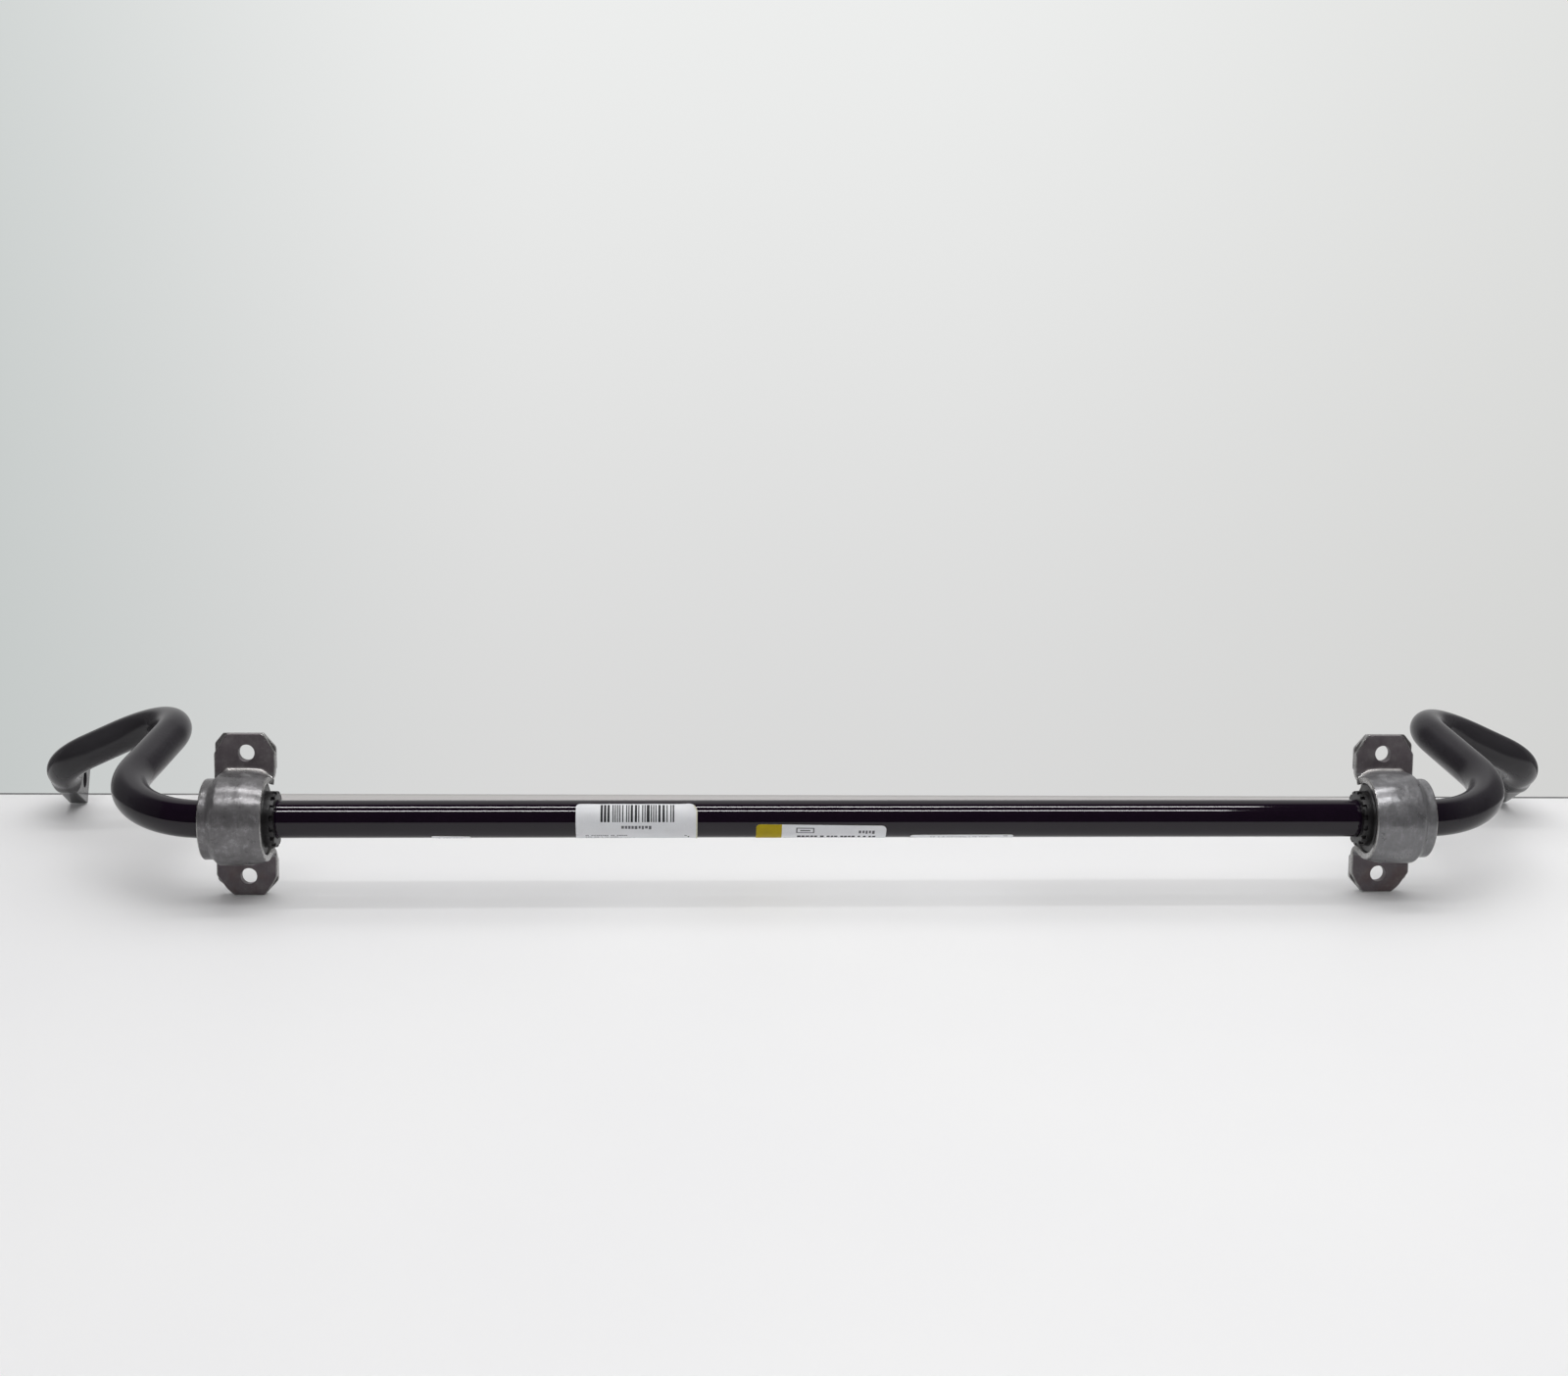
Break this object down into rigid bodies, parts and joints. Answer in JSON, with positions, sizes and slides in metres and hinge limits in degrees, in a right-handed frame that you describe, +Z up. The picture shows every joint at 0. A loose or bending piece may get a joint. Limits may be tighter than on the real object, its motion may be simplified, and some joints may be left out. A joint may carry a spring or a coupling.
{
  "type": "sway bar",
  "caption": "Bent round-bar sway bar with flattened eyes at its arm ends and two rubber bushes held in two-layer pressed steel clamp brackets.",
  "frame": {"origin": "middle of the box's base: on the table plane, half way along the bar and half way through the depth", "axes": "+X along the straight bar, +Y from the straight bar towards the arms' ends, +Z up as it stands on a table"},
  "size_m": [0.9372, 0.23, 0.0899],
  "materials": {
    "bar_paint": "black paint over steel, mirror-gloss on the straight run and satin on the bent arms",
    "strap_steel": "pressed steel with a mottled grey coating, brighter where the press rubbed it",
    "plate_steel": "pressed steel with a dull brownish grey coating",
    "bush_rubber": "moulded black rubber, matt with slightly shiny moulded edges",
    "sticker_paper": null
  },
  "bodies": {
    "bar": {"stabilizer_bar": "bar_paint", "barcode_sticker": "sticker_paper", "part_sticker": "sticker_paper", "lower_sticker": "sticker_paper", "small_sticker": "sticker_paper"},
    "bracket_left": {"bracket_strap_left": "strap_steel", "bracket_plate_left": "plate_steel", "bush_left": "bush_rubber"},
    "bracket_right": {"bracket_strap_right": "strap_steel", "bracket_plate_right": "plate_steel", "bush_right": "bush_rubber"}
  },
  "joints": [
    {"name": "bracket_left_twist", "type": "hinge", "parent": "bar", "child": "bracket_left", "pos_m": [-0.31807, -0.08979, 0.04675], "axis": [1, 0, 0], "range_deg": [-20, 20], "stiffness_Nm_per_rad": 48},
    {"name": "bracket_right_twist", "type": "hinge", "parent": "bar", "child": "bracket_right", "pos_m": [0.31807, -0.08979, 0.04675], "axis": [1, 0, 0], "range_deg": [-20, 20], "stiffness_Nm_per_rad": 48}
  ]
}
